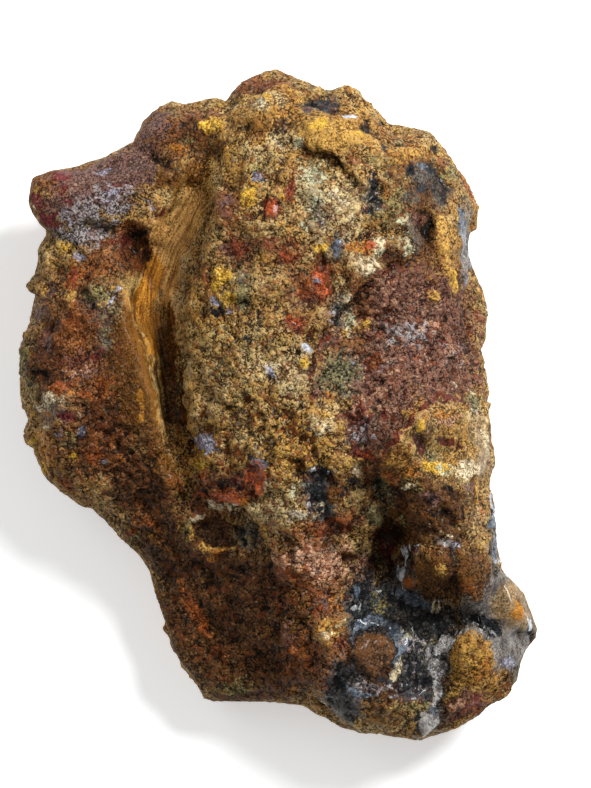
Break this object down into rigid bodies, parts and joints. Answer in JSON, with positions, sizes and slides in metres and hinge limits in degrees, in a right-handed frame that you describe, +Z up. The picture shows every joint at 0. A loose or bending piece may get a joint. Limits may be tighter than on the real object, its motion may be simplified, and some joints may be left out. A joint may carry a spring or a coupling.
{
  "type": "faced rough moss agate",
  "caption": "Rough lump of moss agate in its ochre and red-brown rind, with a smooth flute, a knob and a clear foot, sawn flat where it rests.",
  "frame": {"origin": "middle of the stone's box, on the sawn face that it rests on", "axes": "+Z up, square to the sawn face; +Y along the stone's length, towards its narrow upper end; +X to the right as seen from above"},
  "size_m": [0.0834, 0.108, 0.0355],
  "materials": {
    "moss_agate_rind": "rough, weathered rind with glassy patches; the sawn face is polished"
  },
  "bodies": {
    "root": {"moss_agate": "moss_agate_rind"}
  },
  "joints": []
}
